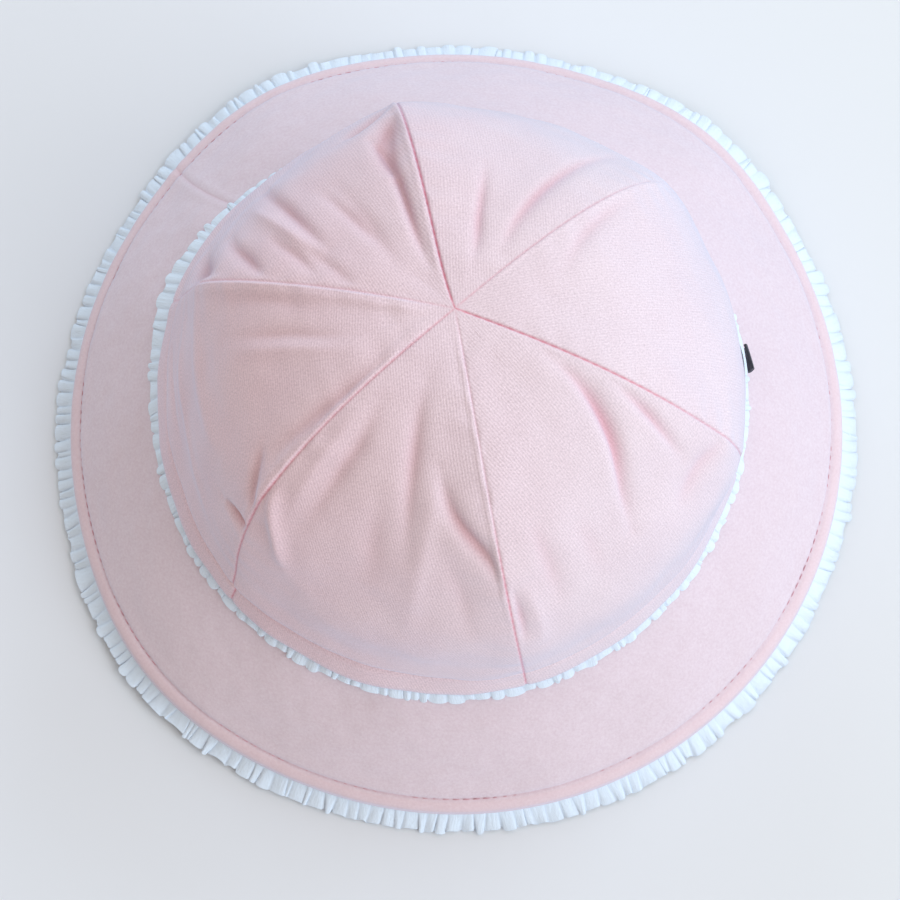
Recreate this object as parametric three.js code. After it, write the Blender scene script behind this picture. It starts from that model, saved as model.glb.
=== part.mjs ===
import * as THREE from 'three';

// A baby's six-panel bucket hat, standing brim down on a table.
// Millimetres and degrees. +Z is up, z = 0 is the table, +Y is the back of the hat
// and +X its right side as seen from the front. Turns run anticlockwise from +X.

// Crown: a squared dome over an oval base, with a short flared band at its foot
const CROWN_HALF_WIDTH = 71.5;
const CROWN_HALF_LENGTH = 72.5;
const CROWN_FOOT_Z = 32;
const CROWN_RISE = 75;
const CROWN_SQUARENESS = 2.45; // 2 gives an ellipse, more gives a squarer shoulder
const CROWN_LEAN = 0.75; // how far the point stands to the right of the base
const CROWN_SLUMP_RIGHT = 2.2; // how far the soft wall sags to the right at half height
const CROWN_SLUMP_FRONT = 2.2;
const CROWN_SLUMP_HEIGHT = 30;
const CROWN_SLUMP_SPREAD = 18;
const FOOT_FLARE = 3.2;
const FOOT_FLARE_HEIGHT = 5.5;
const FOOT_BAND_TURN = 245; // the flared band is pulled out most here
const FOOT_BAND_SPREAD = 62;
const FOOT_BAND_LEAST = 0.5; // share of the flare that is left on the far side
const CREASE_DEPTH = 0.8; // inward crease just above the flared band
const CREASE_HEIGHT = 9;
const CREASE_HALF_HEIGHT = 3;
const PANEL_FLATNESS = 0.75; // at the point: 0 keeps the dome round, 1 makes it six-sided
const POINT_HOLE = 0.006; // share of the way down where the panel tips stop

// Cloth
const CROWN_CLOTH = 1.5;
const BRIM_CLOTH = 2;
const RUFFLE_CLOTH = 1;
const LABEL_TAPE = 1;
const SEAM_GAP = 0.3;
const SEAM_HOLD = 3; // folds die away over this distance from a seam

// Brim
const BRIM_HALF_WIDTH = 99.8;
const BRIM_HALF_LENGTH = 101.2;
const BRIM_SHIFT = 1.4; // the brim edge stands this far to the right of the crown
const BRIM_TOP_Z = 30.4;
const BRIM_EDGE_Z = 5;
const BRIM_BOW = 2; // how far the brim swells above a straight slope
const BRIM_SEAM_TURN = 137;
const WELT_WIDTH = 5.2; // puffed edge outside the topstitching
const WELT_DIP = 0.5;

// Ruffles
const CROWN_RUFFLE_WIDTH = 4;
const CROWN_RUFFLE_DROP = 2.5;
const CROWN_RUFFLE_PLEATS = 84;
const CROWN_RUFFLE_WAVE = 0.7;
const BRIM_RUFFLE_REACH = 4.9; // how far it stands out from its seam
const BRIM_RUFFLE_BEND = 0.55; // share of its width where it turns out along the table
const BRIM_RUFFLE_PLEATS = 110;
const BRIM_RUFFLE_WAVE = 1.1;
const BRIM_RUFFLE_REST = 0.7; // height of the strip's middle where it lies out on the table
const PLEAT_UNEVENNESS = 0.6; // degrees

// Side label
const LABEL_TURN = 6.8;
const LABEL_WIDTH = 6.5;
const LABEL_FOOT = 0.6;
const LABEL_HEIGHT = 4.5;
const LABEL_LEAN = 0.18; // how far it leans in for each millimetre up

// Mesh divisions
const PANEL_COLUMNS = 12;
const PANEL_ROWS = 15;
const ROW_EASE = 1.5; // crowds the rows towards the foot
const BRIM_COLUMNS = 60;
const PLEAT_COLUMNS = 3;
const FOLD_STEPS = 8;

// Seams of the crown, anticlockwise: turn near the point and turn at the foot
const SEAMS = [
  { point: -20.5, foot: -16 },
  { point: 41, foot: 39 },
  { point: 104, foot: 102 },
  { point: 168.5, foot: 161 },
  { point: 220.5, foot: 224 },
  { point: 280, foot: 284 },
];

// Each panel lies between the seam of its own number and the next one
const PANEL_NAMES = [
  'crown_panel_right',
  'crown_panel_back',
  'crown_panel_back_left',
  'crown_panel_left',
  'crown_panel_front',
  'crown_panel_front_right',
];

// Folds of each panel. across runs 0 to 1 from seam to seam, down runs 0 to 1 from point to foot,
// bow is the sideways swing of the middle as a share of the panel, depth below zero is a ridge.
const FOLDS = [
  { panel: 0, across: [0.94, 0.71], down: [0.4, 0.23], bow: 0, halfWidth: 4, depth: 0.9 },
  { panel: 1, across: [0.56, 0.45], down: [0.29, 0.11], bow: 0.03, halfWidth: 2.6, depth: 1.3 },
  { panel: 1, across: [0.21, 0.29], down: [0.61, 0.13], bow: 0.01, halfWidth: 4, depth: 1.9 },
  { panel: 2, across: [0.12, 0.1], down: [0.41, 0.08], bow: 0.06, halfWidth: 2.6, depth: 1.8 },
  { panel: 2, across: [0.16, 0.2], down: [0.53, 0.31], bow: -0.01, halfWidth: 6, depth: 3.2 },
  { panel: 2, across: [0.61, 0.71], down: [0.7, 0.41], bow: 0, halfWidth: 3, depth: 2.3 },
  { panel: 2, across: [0.87, 0.95], down: [0.65, 0.52], bow: 0, halfWidth: 3, depth: 2 },
  { panel: 2, across: [0.48, 0.5], down: [0.38, 0.23], bow: 0, halfWidth: 4, depth: 1 },
  { panel: 2, across: [0.78, 0.88], down: [0.59, 0.45], bow: 0, halfWidth: 3.5, depth: 1.5 },
  { panel: 3, across: [0.17, 0.42], down: [0.59, 0.25], bow: -0.02, halfWidth: 6, depth: 1.3 },
  { panel: 3, across: [0.94, 0.93], down: [0.26, 0.51], bow: 0, halfWidth: 4, depth: 1.2 },
  { panel: 3, across: [0.76, 0.95], down: [0.68, 0.66], bow: 0, halfWidth: 3.4, depth: 2 },
  { panel: 3, across: [0.04, 0.74], down: [0.69, 0.66], bow: 0, halfWidth: 5, depth: -1.3 },
  { panel: 4, across: [0.56, 0.6], down: [0.2, 0.48], bow: 0.01, halfWidth: 4.4, depth: 1.8 },
  { panel: 4, across: [0.77, 0.96], down: [0.37, 0.53], bow: 0.02, halfWidth: 5, depth: 3.4 },
  { panel: 4, across: [0.27, 0.26], down: [0.33, 0.42], bow: 0, halfWidth: 3.6, depth: 1.2 },
  { panel: 4, across: [0.04, 0.18], down: [0.61, 0.73], bow: 0.01, halfWidth: 3.4, depth: 1.3 },
  { panel: 4, across: [0.49, 0.53], down: [0.41, 0.61], bow: 0, halfWidth: 6, depth: 1 },
  { panel: 5, across: [0.9, 0.55], down: [0.23, 0.62], bow: -0.02, halfWidth: 3.2, depth: 2.3 },
  { panel: 5, across: [0.91, 0.86], down: [0.46, 0.58], bow: -0.02, halfWidth: 3, depth: 1.8 },
  { panel: 5, across: [0.91, 0.8], down: [0.37, 0.5], bow: 0, halfWidth: 3, depth: 1 },
  { panel: 5, across: [0.96, 0.85], down: [0.68, 0.62], bow: 0, halfWidth: 4.5, depth: 1.2 },
  { panel: 5, across: [0.14, 0.14], down: [0.48, 0.72], bow: -0.02, halfWidth: 4, depth: 0.9 },
];

// Places where the brim edge swings out and lifts off the table
const BRIM_WAVES = [
  { turn: 50, halfSpread: 16, reach: 2.2, lift: 2 },
  { turn: 121, halfSpread: 17, reach: 2.2, lift: 2.5 },
  { turn: 221, halfSpread: 20, reach: 2.4, lift: 2 },
];

const PINK_TWILL = new THREE.MeshStandardMaterial({ color: '#efd3da', roughness: 0.9, metalness: 0 });
const PINK_BRIM_CLOTH = new THREE.MeshStandardMaterial({ color: '#efd8e0', roughness: 0.92, metalness: 0 });
const WHITE_COTTON = new THREE.MeshStandardMaterial({ color: '#f2f5f8', roughness: 0.85, metalness: 0 });
const DARK_TAPE = new THREE.MeshStandardMaterial({ color: '#2c3038', roughness: 0.8, metalness: 0 });

const { degToRad, lerp, smoothstep } = THREE.MathUtils;

// A soft hump, 1 at the middle and nearly 0 two spreads away
const bell = (x) => Math.exp(-x * x);

// A fold across its run: a valley with a low roll on either side
const rolledValley = (x) => (1 - x * x) * Math.exp((-x * x) / 1.4);

// Distance from the middle of an oval to its edge
function ovalRadius(turn, halfWidth, halfLength) {
  const angle = degToRad(turn);
  return 1 / Math.hypot(Math.cos(angle) / halfWidth, Math.sin(angle) / halfLength);
}

// A point from its turn, its distance from the axis and its height
function polar(turn, radius, z, shiftX = 0) {
  const angle = degToRad(turn);
  return new THREE.Vector3(shiftX + radius * Math.cos(angle), radius * Math.sin(angle), z);
}

// Turn of one seam at a share of the way down
function seamTurn(index, down) {
  const seam = SEAMS[index % SEAMS.length];
  const wholeTurns = 360 * Math.floor(index / SEAMS.length);
  return wholeTurns + lerp(seam.point, seam.foot, down * down);
}

// A soft hump over a range of turns
const bellTurn = (turn, middle, spread) =>
  bell((THREE.MathUtils.euclideanModulo(turn - middle + 180, 360) - 180) / spread);

// How far the foot's flared band stands out at a turn
const footBand = (turn) => bellTurn(turn, FOOT_BAND_TURN, FOOT_BAND_SPREAD);
const footFlare = (turn) => FOOT_FLARE * lerp(FOOT_BAND_LEAST, 1, footBand(turn));

// How far the soft wall sags outward at a turn and a height above the foot
function crownSlump(turn, height) {
  const angle = degToRad(turn);
  const sag = CROWN_SLUMP_RIGHT * Math.cos(angle) - CROWN_SLUMP_FRONT * Math.sin(angle);
  return sag * bell((height - CROWN_SLUMP_HEIGHT) / CROWN_SLUMP_SPREAD);
}

// The crown without its folds
function smoothCrown(panel, across, down) {
  const start = seamTurn(panel, down);
  const spread = seamTurn(panel + 1, down) - start;
  const turn = start + across * spread;
  const slope = degToRad(90 * down);
  const power = 2 / CROWN_SQUARENESS;
  const height = CROWN_RISE * Math.max(Math.cos(slope), 0) ** power;
  const chord = Math.cos(degToRad(spread / 2)) / Math.cos(degToRad((across - 0.5) * spread));
  const flatness = PANEL_FLATNESS * (1 - down * down);
  const dome = ovalRadius(turn, CROWN_HALF_WIDTH, CROWN_HALF_LENGTH) * Math.sin(slope) ** power;
  const radius =
    dome * (1 - flatness * (1 - chord)) +
    footFlare(turn) * bell(height / FOOT_FLARE_HEIGHT) -
    CREASE_DEPTH * footBand(turn) * bell((height - CREASE_HEIGHT) / CREASE_HALF_HEIGHT) +
    crownSlump(turn, height);
  return polar(turn, radius, CROWN_FOOT_Z + height, (CROWN_LEAN * height) / CROWN_RISE);
}

// Outward direction of the plain dome, the same on both sides of a seam
function domeNormal(panel, across, down) {
  const start = seamTurn(panel, down);
  const turn = start + across * (seamTurn(panel + 1, down) - start);
  const slope = degToRad(90 * down);
  const power = 2 - 2 / CROWN_SQUARENESS;
  const outward = Math.sin(slope) ** power / CROWN_HALF_WIDTH;
  const upward = Math.max(Math.cos(slope), 0) ** power / CROWN_RISE;
  return polar(turn, outward, upward).normalize();
}

// The run of one fold over the smooth crown
function foldRun({ panel, across, down, bow }) {
  return Array.from({ length: FOLD_STEPS + 1 }, (_, step) => {
    const share = step / FOLD_STEPS;
    const swing = bow * Math.sin(Math.PI * share);
    return smoothCrown(panel, lerp(across[0], across[1], share) + swing, lerp(down[0], down[1], share));
  });
}

const FOLD_RUNS = FOLDS.map((fold) => ({ ...fold, run: foldRun(fold) }));

// How far one fold sinks the cloth at a point of the smooth crown
function foldSink({ run, halfWidth, depth }, point) {
  const leg = new THREE.Line3();
  const foot = new THREE.Vector3();
  let nearest = { distance: Infinity, share: 0 };
  for (let step = 0; step < FOLD_STEPS; step += 1) {
    leg.set(run[step], run[step + 1]);
    const along = leg.closestPointToPointParameter(point, true);
    const distance = leg.at(along, foot).distanceTo(point);
    if (distance < nearest.distance) nearest = { distance, share: (step + along) / FOLD_STEPS };
  }
  const fade = 0.3 + 0.7 * Math.sin(Math.PI * nearest.share);
  return depth * fade * rolledValley(nearest.distance / halfWidth);
}

// The crown's outer face, or a face under it
function crownCloth(panel, across, down, under = 0) {
  const point = smoothCrown(panel, across, down);
  const seamDistance = Math.min(
    point.distanceTo(smoothCrown(panel, 0, down)),
    point.distanceTo(smoothCrown(panel, 1, down)),
  );
  const hold = smoothstep(seamDistance, 0, SEAM_HOLD) * (1 - bell((1 - down) / 0.1));
  const sink = FOLD_RUNS.filter((fold) => fold.panel === panel)
    .reduce((sum, fold) => sum + foldSink(fold, point), 0);
  return point.addScaledVector(domeNormal(panel, across, down), -hold * sink - under);
}

// Where the brim seam and both ruffles run round the crown
const footRadius = (turn) =>
  ovalRadius(turn, CROWN_HALF_WIDTH, CROWN_HALF_LENGTH) + footFlare(turn) - CROWN_CLOTH;

// Sum of the brim's waves at a turn
function brimWave(turn, column) {
  return BRIM_WAVES.reduce((sum, wave) => sum + wave[column] * bellTurn(turn, wave.turn, wave.halfSpread), 0);
}

// The brim's upper face in its own slope: distance from the axis, height and downhill angle
function brimSlope(turn, out) {
  const inner = footRadius(turn);
  const reach = ovalRadius(turn, BRIM_HALF_WIDTH, BRIM_HALF_LENGTH) + brimWave(turn, 'reach') - inner;
  const fall = BRIM_TOP_Z - BRIM_EDGE_Z - brimWave(turn, 'lift');
  const z = BRIM_TOP_Z - fall * out + BRIM_BOW * Math.sin(Math.PI * out);
  const steepness = Math.atan2(fall - BRIM_BOW * Math.PI * Math.cos(Math.PI * out), reach);
  return { radius: inner + reach * out, z, steepness, reach };
}

// A point of the brim, some way under its upper face
function brimCloth(turn, out, under) {
  const { radius, z, steepness } = brimSlope(turn, out);
  return polar(
    turn,
    radius - under * Math.sin(steepness),
    z - under * Math.cos(steepness),
    BRIM_SHIFT * out,
  );
}

// A closed sheet of cloth: place gives the point for a share along, a share across and a share
// through the thickness (0 underneath, 1 on top)
function clothSheet(name, material, columns, rows, place) {
  const geometry = new THREE.BoxGeometry(1, 1, 1, columns, rows, 1);
  const vertex = new THREE.Vector3();
  const positions = geometry.attributes.position;
  for (let i = 0; i < positions.count; i += 1) {
    vertex.fromBufferAttribute(positions, i).addScalar(0.5);
    positions.setXYZ(i, ...place(vertex.x, vertex.y, vertex.z));
  }
  geometry.computeVertexNormals();
  const sheet = new THREE.Mesh(geometry, material);
  sheet.name = name;
  return sheet;
}

// One gore of the crown, from its foot up to its tip
function crownPanel(name, panel) {
  return clothSheet(name, PINK_TWILL, PANEL_COLUMNS, PANEL_ROWS, (along, up, through) => {
    const down = lerp(POINT_HOLE, 1, 1 - up ** ROW_EASE);
    const width = smoothCrown(panel, 0, down).distanceTo(smoothCrown(panel, 1, down));
    const allowance = SEAM_GAP / 2 / width;
    return crownCloth(panel, lerp(allowance, 1 - allowance, along), down, CROWN_CLOTH * (1 - through));
  });
}

// Turn along a strip that starts and ends at the brim seam, half a gap from it
function stripTurn(along, radius) {
  const gap = THREE.MathUtils.radToDeg(SEAM_GAP / 2 / radius);
  return lerp(BRIM_SEAM_TURN + gap, BRIM_SEAM_TURN + 360 - gap, along);
}

// The brim, one bent strip closed by a single seam, its rows set for the puffed edge
function brimPiece() {
  const rows = [0, 0.5, 'welt', 1];
  return clothSheet('brim', PINK_BRIM_CLOTH, BRIM_COLUMNS, rows.length - 1, (along, inward, through) => {
    const turn = stripTurn(along, CROWN_HALF_WIDTH);
    const row = rows[Math.round((1 - inward) * (rows.length - 1))];
    const { reach, steepness } = brimSlope(turn, 1);
    const weltLine = 1 - (WELT_WIDTH * Math.cos(steepness)) / reach;
    const dip = row === 'welt' ? WELT_DIP * through : 0;
    return brimCloth(turn, row === 'welt' ? weltLine : row, BRIM_CLOTH * (1 - through) + dip);
  });
}

// Turn and pleat height along a gathered strip
function pleatAt(along, pleats, radius) {
  const uneven = Math.sin(2 * Math.PI * 13 * along) + Math.sin(2 * Math.PI * 29 * along);
  const fullness = 0.8 + 0.2 * Math.sin(2 * Math.PI * 17 * along);
  return {
    turn: stripTurn(along, radius) + (PLEAT_UNEVENNESS / 2) * uneven,
    wave: fullness * Math.cos(2 * Math.PI * pleats * along),
  };
}

// The narrow ruffle caught between crown and brim
function crownRuffle() {
  const columns = CROWN_RUFFLE_PLEATS * PLEAT_COLUMNS;
  return clothSheet('crown_ruffle', WHITE_COTTON, columns, 1, (along, inward, through) => {
    const out = 1 - inward;
    const { turn, wave } = pleatAt(along, CROWN_RUFFLE_PLEATS, CROWN_HALF_WIDTH);
    const lying = BRIM_TOP_Z + SEAM_GAP - CROWN_RUFFLE_DROP * out;
    const z = lying + RUFFLE_CLOTH * through + CROWN_RUFFLE_WAVE * out * (0.5 + wave);
    return polar(turn, footRadius(turn) + CROWN_RUFFLE_WIDTH * out, z);
  });
}

// The seam in the brim's outer edge where the brim ruffle starts
function brimRuffleSeam(turn) {
  const { radius, z, steepness } = brimSlope(turn, 1);
  return {
    radius: radius - (BRIM_CLOTH / 2) * Math.sin(steepness) + SEAM_GAP * Math.cos(steepness),
    z: z - (BRIM_CLOTH / 2) * Math.cos(steepness) - SEAM_GAP * Math.sin(steepness),
    steepness,
  };
}

// The ruffle in the brim edge, falling to the table and lying out along it
function brimRuffle() {
  const columns = BRIM_RUFFLE_PLEATS * PLEAT_COLUMNS;
  const rows = [0, BRIM_RUFFLE_BEND, 1];
  return clothSheet('brim_ruffle', WHITE_COTTON, columns, rows.length - 1, (along, inward, through) => {
    const out = rows[Math.round((1 - inward) * (rows.length - 1))];
    const { turn, wave } = pleatAt(along, BRIM_RUFFLE_PLEATS, BRIM_HALF_WIDTH);
    const seam = brimRuffleSeam(turn);
    const resting = BRIM_RUFFLE_REST + brimWave(turn, 'lift') + BRIM_RUFFLE_WAVE * Math.sqrt(out) * wave;
    const middle = out > 0 ? Math.max(resting, RUFFLE_CLOTH / 2) : seam.z;
    const lean = out > 0 ? 0 : seam.steepness;
    const thickness = RUFFLE_CLOTH * (through - 0.5);
    return polar(
      turn,
      seam.radius + BRIM_RUFFLE_REACH * out + thickness * Math.sin(lean),
      middle + thickness * Math.cos(lean),
      BRIM_SHIFT,
    );
  });
}

// The folded tape sewn in at the foot of the right panel, standing up beside the wall
function sideLabel() {
  const halfTurn = THREE.MathUtils.radToDeg(LABEL_WIDTH / 2 / CROWN_HALF_WIDTH);
  const foot = SEAMS[0].foot;
  const spread = SEAMS[1].foot - foot;
  const down = THREE.MathUtils.radToDeg(Math.acos((LABEL_FOOT / CROWN_RISE) ** (CROWN_SQUARENESS / 2))) / 90;
  return clothSheet('side_label', DARK_TAPE, 2, 3, (along, up, through) => {
    const turn = LABEL_TURN + lerp(-halfTurn, halfTurn, along);
    const rise = LABEL_HEIGHT * up;
    const wall = smoothCrown(0, (turn - foot) / spread, down);
    return wall.add(polar(turn, SEAM_GAP + LABEL_TAPE * through - LABEL_LEAN * rise, rise));
  });
}

// Stand the finished hat with the middle of its outline over the origin
function standAtOrigin(group) {
  const box = new THREE.Box3().setFromObject(group);
  const middle = box.getCenter(new THREE.Vector3());
  group.children.forEach((piece) => piece.geometry.translate(-middle.x, -middle.y, -box.min.z));
  return group;
}

const hat = new THREE.Group();
hat.name = 'baby_bucket_hat';
PANEL_NAMES.forEach((name, panel) => hat.add(crownPanel(name, panel)));
hat.add(brimPiece(), crownRuffle(), brimRuffle(), sideLabel());

export default standAtOrigin(hat);
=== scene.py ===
"""A baby's pink bucket hat, standing brim down on a pale table.

Sizes are in millimetres and angles in degrees until a mesh is placed, when they become metres.
Turns run anticlockwise from the hat's right side, +X, and +Y is its back.
"""

import logging
import math
from dataclasses import dataclass
from enum import Enum

import bmesh
import bpy
import numpy as np
from mathutils import Matrix, Vector


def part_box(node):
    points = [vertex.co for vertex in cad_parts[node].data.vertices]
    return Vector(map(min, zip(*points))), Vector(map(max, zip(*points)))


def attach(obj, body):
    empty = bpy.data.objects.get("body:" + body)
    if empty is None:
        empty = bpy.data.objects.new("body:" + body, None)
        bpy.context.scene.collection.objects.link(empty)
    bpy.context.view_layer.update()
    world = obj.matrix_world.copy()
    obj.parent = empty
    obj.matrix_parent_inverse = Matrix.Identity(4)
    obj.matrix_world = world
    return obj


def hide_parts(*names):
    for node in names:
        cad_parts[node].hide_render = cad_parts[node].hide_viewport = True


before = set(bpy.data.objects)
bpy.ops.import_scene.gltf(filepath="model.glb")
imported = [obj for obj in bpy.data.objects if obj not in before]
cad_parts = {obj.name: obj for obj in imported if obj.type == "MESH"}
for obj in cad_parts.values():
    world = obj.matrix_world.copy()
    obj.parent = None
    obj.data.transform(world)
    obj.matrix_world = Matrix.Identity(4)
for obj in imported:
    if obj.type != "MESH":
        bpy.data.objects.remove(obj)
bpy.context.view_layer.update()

LOG = logging.getLogger("baby_bucket_hat")
ROOT_BODY = "root"
MM = 0.001
Array = np.ndarray


class Slot(Enum):
    """The record's material slots."""

    TWILL = "pink_twill"
    BRIM_CLOTH = "pink_brim_cloth"
    RUFFLE = "white_ruffle_cotton"
    LABEL = "dark_label_tape"


class Held(Enum):
    """How a piece of cloth is held."""

    STRETCHED = "stretched"
    GATHERED = "gathered"
    FOLDED = "folded"


def linear(code: str) -> tuple[float, float, float, float]:
    """Turn an sRGB hex colour into linear light.

    Args:
        code: Six hex digits with a leading hash.

    Returns:
        Red, green, blue and an alpha of 1.
    """
    channels = [int(code[i:i + 2], 16) / 255 for i in (1, 3, 5)]
    light = [c / 12.92 if c <= 0.04045 else ((c + 0.055) / 1.055) ** 2.4 for c in channels]
    return (*light, 1.0)


def set_node(tree: bpy.types.NodeTree, node: bpy.types.Node, settings: dict) -> None:
    """Give a node its settings and links.

    Args:
        tree: The node tree that holds the node.
        node: The node.
        settings: Properties, socket values and sockets to plug in, by name or socket number.
    """
    for name, value in settings.items():
        if isinstance(value, bpy.types.NodeSocket):
            tree.links.new(value, node.inputs[name])
        elif isinstance(name, int) or name in node.inputs:
            node.inputs[name].default_value = value
        else:
            setattr(node, name, value)


def add_node(tree: bpy.types.NodeTree, kind: str, settings: dict) -> bpy.types.Node:
    """Add one shader node with its settings and links.

    Args:
        tree: The node tree that takes the node.
        kind: The node's type name, without its first two words.
        settings: Properties, socket values and sockets to plug in, by name or socket number.

    Returns:
        The new node.
    """
    node = tree.nodes.new("ShaderNode" + kind)
    set_node(tree, node, settings)
    return node


def start_material(name: str) -> tuple[bpy.types.Material, bpy.types.NodeTree, bpy.types.Node]:
    """Make a material with one plain shader.

    Args:
        name: The material's name.

    Returns:
        The material, its node tree and its shader node.
    """
    material = bpy.data.materials.new(name)
    material.use_nodes = True
    tree = material.node_tree
    return material, tree, tree.nodes["Principled BSDF"]


def bell(x: Array) -> Array:
    """A soft hump, 1 at the middle and nearly 0 two spreads away."""
    return np.exp(-np.square(x))


def turn_bell(turn: Array, middle: float, spread: float) -> Array:
    """A soft hump round a turn, its middle and spread in degrees."""
    return bell((np.mod(turn - middle + 180, 360) - 180) / spread)


def ease(x: Array, start: float, end: float) -> Array:
    """Rise smoothly from 0 at start to 1 at end."""
    t = np.clip((np.asarray(x, float) - start) / (end - start), 0, 1)
    return t * t * (3 - 2 * t)


def oval_radius(turn: Array, half_width: float, half_length: float) -> Array:
    """Distance from the middle of an oval to its edge."""
    angle = np.radians(turn)
    return 1 / np.hypot(np.cos(angle) / half_width, np.sin(angle) / half_length)


def polar(turn: Array, radius: Array, z: Array, shift_x: Array = 0.0) -> Array:
    """Points from their turn, distance from the axis and height.

    Args:
        turn: Turn round the crown's axis.
        radius: Distance from the axis.
        z: Height.
        shift_x: How far the axis stands to the right.

    Returns:
        An array of points, one row each.
    """
    angle = np.radians(turn)
    x = shift_x + radius * np.cos(angle)
    y = radius * np.sin(angle)
    return np.stack(np.broadcast_arrays(x, y, z), axis=-1)


def crinkle(x: Array, y: Array, length: float, seed: float) -> Array:
    """Uneven cloth as a few crossing ripples.

    Args:
        x: Distance along the cloth.
        y: Distance across the cloth.
        length: Typical length of a ripple.
        seed: Picks one of many patterns.

    Returns:
        Heights from about -1 to 1.
    """
    golden = math.radians(137.508)
    total = np.zeros(np.broadcast(x, y).shape)
    waves = 7
    for k in range(waves):
        heading = golden * k + seed
        stretch = 0.7 + 0.1 * k
        run = (x * math.cos(heading) + y * math.sin(heading)) * stretch
        total += np.sin(2 * math.pi * run / length + 1.7 * k * k + 3.1 * seed)
    return total / math.sqrt(2 * waves)


@dataclass(frozen=True)
class Ripple:
    """Gentle unevenness of a cloth.

    Attributes:
        height: How high it stands.
        length: Typical length of a ripple.
        seed: Picks one of many patterns.
        clear: Distance from a seam at which it reaches its full height.
        edge_start: Distance from an outer edge at which it starts.
        edge_clear: Distance from an outer edge at which it reaches its full height.
    """

    height: float
    length: float
    seed: float
    clear: float
    edge_start: float = 0.0
    edge_clear: float = 0.0

    def lift(self, x: Array, y: Array, piece: int = 0) -> Array:
        """Heights at places along and across one of several pieces."""
        return self.height * crinkle(x, y, self.length, self.seed + piece)


@dataclass(frozen=True)
class Standing:
    """Where the crown's axis meets the table in the frame."""

    x: float
    y: float

    @classmethod
    def from_frame(cls, brim_shift: float) -> "Standing":
        """Read the place off the brim's solid.

        Args:
            brim_shift: How far the brim stands to the right of the crown.

        Returns:
            The crown's place.
        """
        low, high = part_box("brim")
        return cls((low[0] + high[0]) / 2 / MM - brim_shift, (low[1] + high[1]) / 2 / MM)

    def metres(self, points: Array) -> Array:
        """Move points to the hat's place and turn them into metres."""
        return (points + np.array([self.x, self.y, 0.0])) * MM


def net_mesh(net: bmesh.types.BMesh, name: str) -> bpy.types.Mesh:
    """Turn a finished net into a mesh and let the net go.

    Args:
        net: The finished net.
        name: The mesh's name.

    Returns:
        The mesh.
    """
    mesh = bpy.data.meshes.new(name)
    net.to_mesh(mesh)
    net.free()
    return mesh


def set_down(name: str, mesh: bpy.types.Mesh, material: bpy.types.Material) -> bpy.types.Object:
    """Paint a mesh and put it in the scene.

    Args:
        name: The piece's name.
        mesh: Its mesh.
        material: What it is made of.

    Returns:
        The piece.
    """
    mesh.materials.append(material)
    piece = bpy.data.objects.new(name, mesh)
    bpy.context.scene.collection.objects.link(piece)
    return piece


@dataclass
class ClothGrid:
    """A sheet of cloth that starts as a flat grid and is then laid in place.

    Attributes:
        name: The piece's name.
        columns: Squares along the sheet.
        rows: Squares across the sheet.
    """

    name: str
    columns: int
    rows: int

    def __post_init__(self) -> None:
        """Make the flat grid and read each corner's place in it."""
        net = bmesh.new()
        net.loops.layers.uv.new("cloth")
        bmesh.ops.create_grid(net, x_segments=self.columns, y_segments=self.rows, size=0.5, calc_uvs=True)
        self.mesh = net_mesh(net, self.name)
        flat = np.empty(len(self.mesh.vertices) * 3)
        self.mesh.vertices.foreach_get("co", flat)
        self.along, self.up = (flat.reshape(-1, 3)[:, :2] + 0.5).T

    def lay(self, points: Array, weave: Array, material: bpy.types.Material,
            thickness: float) -> bpy.types.Object:
        """Move the corners to their places and give the sheet its thickness on its under side.

        Args:
            points: A place for each corner, in metres.
            weave: Each corner's place in the flat cloth, in millimetres.
            material: The cloth.
            thickness: How thick it is.

        Returns:
            The piece, smooth and in the scene.
        """
        self.mesh.vertices.foreach_set("co", points.astype(np.float32).ravel())
        corner = np.empty(len(self.mesh.loops), dtype=np.int32)
        self.mesh.loops.foreach_get("vertex_index", corner)
        self.mesh.uv_layers["cloth"].data.foreach_set("uv", weave[corner].astype(np.float32).ravel())
        self.mesh.shade_smooth()
        self.sharpen_border()
        self.mesh.update()
        piece = set_down(self.name, self.mesh, material)
        wall = piece.modifiers.new("cloth", "SOLIDIFY")
        wall.thickness = thickness * MM
        wall.offset = -1
        wall.use_rim = True
        return piece

    def sharpen_border(self) -> None:
        """Keep the sheet's own shading up to its cut edges."""
        side = np.empty(len(self.mesh.loops), dtype=np.int32)
        self.mesh.loops.foreach_get("edge_index", side)
        layer = self.mesh.attributes.new("sharp_edge", "BOOLEAN", "EDGE")
        layer.data.foreach_set("value", np.bincount(side, minlength=len(self.mesh.edges)) == 1)

    def mark(self, name: str, values: Array) -> None:
        """Store one number for each corner under a name."""
        layer = self.mesh.attributes.new(name, "FLOAT", "POINT")
        layer.data.foreach_set("value", values.astype(np.float32))


def sheet_area(piece: bpy.types.Object) -> float:
    """Area of a sheet before it is thickened, in square metres."""
    return sum(face.area for face in piece.data.polygons)


def hand_over(piece: bpy.types.Object, nodes: tuple[str, ...]) -> None:
    """Tie a finished piece to the frame.

    Args:
        piece: The finished piece.
        nodes: The solids that it stands for.
    """
    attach(piece, ROOT_BODY)
    if nodes:
        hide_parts(*nodes)
    LOG.info("%s: %d faces, sheet area %.5f m2", piece.name, len(piece.data.polygons), sheet_area(piece))


# Finishes


# scale of the wave texture that draws one stripe to the millimetre
STRIPE = math.pi / 10
# the cool down of loose fibres that brushed and washed cotton shows where it turns away
COTTON_FUZZ = {"Sheen Weight": 0.5, "Sheen Roughness": 0.5, "Sheen Tint": linear("#bcdfff")}


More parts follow.
